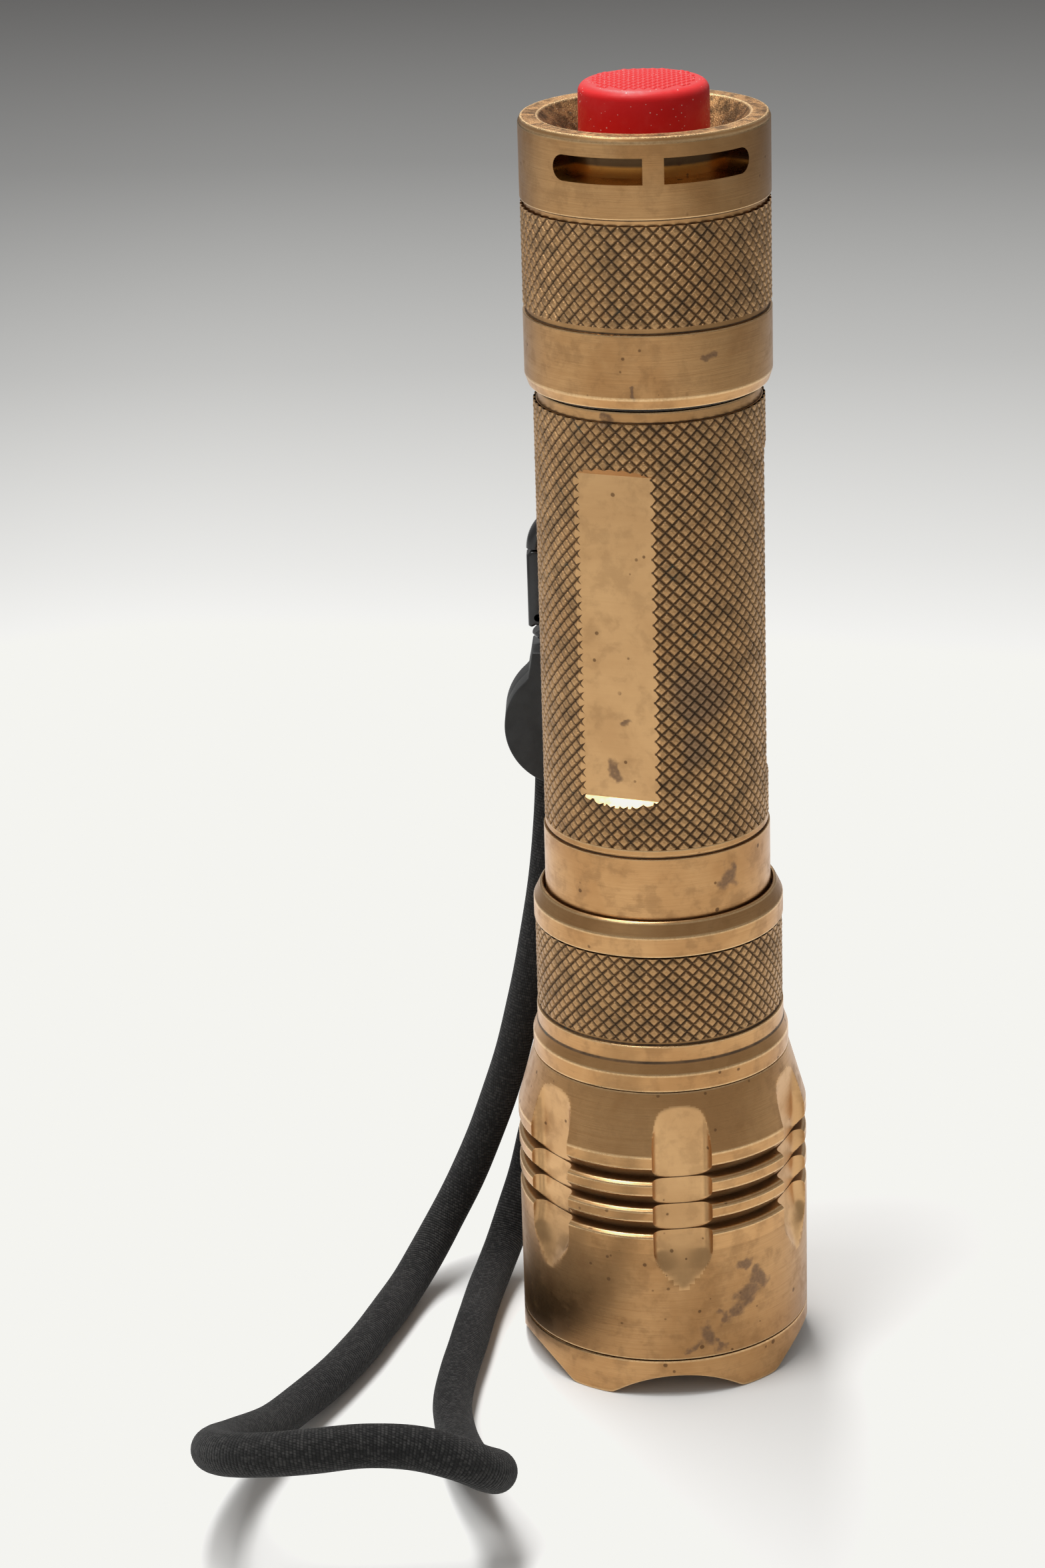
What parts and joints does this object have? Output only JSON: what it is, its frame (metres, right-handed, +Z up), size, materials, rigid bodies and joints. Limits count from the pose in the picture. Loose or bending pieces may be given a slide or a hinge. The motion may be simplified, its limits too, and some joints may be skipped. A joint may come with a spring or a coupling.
{
  "type": "flashlight",
  "caption": "Rechargeable brass keychain flashlight with knurled grips, scalloped bezel, tail switch, sliding port collar and clip-on cord lanyard.",
  "frame": {"origin": "On the light's axis, at the level of the bezel's lands that it stands on", "axes": "+Z up along the light's axis from the bezel to the tail switch; -Y is the front, where the light's flutes and flats face in the stored pose; +X is to the right seen from the front"},
  "size_m": [0.0669, 0.0791, 0.1472],
  "materials": {
    "brass": "aged satin, brown patina in the grooves, bright edges",
    "red_silicone": "satin silicone with raised diamonds",
    "o_ring_rubber": "smooth, lightly greased",
    "lens_glass": "clear, coated",
    "mirror_finish": "vacuum-metallised",
    "spring_gold": "gold-plated wire",
    "steel": "nickel-plated",
    "board_green": "solder mask",
    "white_board": "white mask",
    "led_yellow": "phosphor under clear silicone",
    "black_plastic": "moulded, glossy on the hook",
    "black_matte": "fine texture",
    "white_plastic": "moulded",
    "cell_wrap": "shrink wrap",
    "wire_red": "insulation",
    "cord_fabric": "fine ribbed knit"
  },
  "bodies": {
    "head": {"head_shell": "brass", "bezel_ring": "brass", "lens_gasket": "o_ring_rubber", "lens": "lens_glass", "reflector": "mirror_finish", "centering_ring": "white_plastic", "emitter_board": "white_board", "led_package": "led_yellow", "led_dome": "led_yellow", "heat_sink_pill": "brass", "led_wire_left": "black_plastic", "led_wire_right": "wire_red", "driver_board": "board_green", "driver_ring": "brass", "driver_spring": "spring_gold", "inductor": "black_matte", "driver_chip": "black_matte", "usb_socket": "steel", "charge_light": "white_plastic"},
    "neck_seal": {"neck_o_ring": "o_ring_rubber"},
    "collar": {"port_collar": "brass"},
    "head_seal": {"head_o_ring": "o_ring_rubber"},
    "tube": {"body_tube": "brass", "battery_cell": "cell_wrap", "battery_positive": "steel"},
    "tail_seal": {"tail_o_ring": "o_ring_rubber"},
    "tailcap": {"tailcap_shell": "brass", "boot_flange": "red_silicone", "boot_web": "red_silicone", "switch_sleeve": "black_matte", "switch_housing": "black_matte", "switch_return_spring": "steel", "switch_board": "board_green", "switch_retaining_ring": "brass", "tail_spring": "spring_gold", "lanyard_string": "cord_fabric", "string_crimp": "black_plastic", "lanyard_hook": "black_plastic", "hook_gate_pin": "steel", "swivel_pin": "steel", "joiner_front": "black_matte", "joiner_back": "black_matte", "joiner_screw": "steel", "lanyard_cord": "cord_fabric"},
    "button": {"switch_boot": "red_silicone", "switch_plunger": "white_plastic"},
    "gate": {"hook_gate": "black_plastic"}
  },
  "joints": [
    {"name": "tube_lift", "type": "slide", "parent": "head", "child": "head_seal", "axis": [0, 0, 1], "range_m": [0, 0.00526], "deforming": ["driver_spring"]},
    {"name": "tube_turn", "type": "hinge", "parent": "head_seal", "child": "tube", "pos_m": [0, 0, 0.05], "axis": [0, 0, 1], "range_deg": [0, 1890]},
    {"name": "tailcap_turn", "type": "hinge", "parent": "tube", "child": "tail_seal", "pos_m": [0, 0, 0.12], "axis": [0, 0, 1], "range_deg": [0, 1890]},
    {"name": "tailcap_lift", "type": "slide", "parent": "tail_seal", "child": "tailcap", "axis": [0, 0, 1], "range_m": [0, 0.00526], "deforming": ["tail_spring"]},
    {"name": "collar_turn", "type": "hinge", "parent": "head", "child": "neck_seal", "pos_m": [0, 0, 0.045], "axis": [0, 0, 1], "range_deg": [0, 1728]},
    {"name": "collar_lift", "type": "slide", "parent": "neck_seal", "child": "collar", "axis": [0, 0, 1], "range_m": [0, 0.00481]},
    {"name": "button_press", "type": "slide", "parent": "tailcap", "child": "button", "axis": [0, 0, -1], "range_m": [0, 0.0014], "stiffness_N_per_m": 2500, "springref_m": -0.0004, "deforming": ["boot_web", "switch_return_spring"]},
    {"name": "gate_open", "type": "hinge", "parent": "tailcap", "child": "gate", "pos_m": [-0.0131, 0.017, 0.0825], "axis": [0, 1, 0], "range_deg": [0, 30], "stiffness_Nm_per_rad": 0.02, "springref_deg": -5.73}
  ],
  "couplings": [
    {"joint": "tube_lift", "follows": "tube_turn", "m_per_rad": 0.00015915},
    {"joint": "tailcap_lift", "follows": "tailcap_turn", "m_per_rad": 0.00015915},
    {"joint": "collar_lift", "follows": "collar_turn", "m_per_rad": 0.00015915}
  ]
}
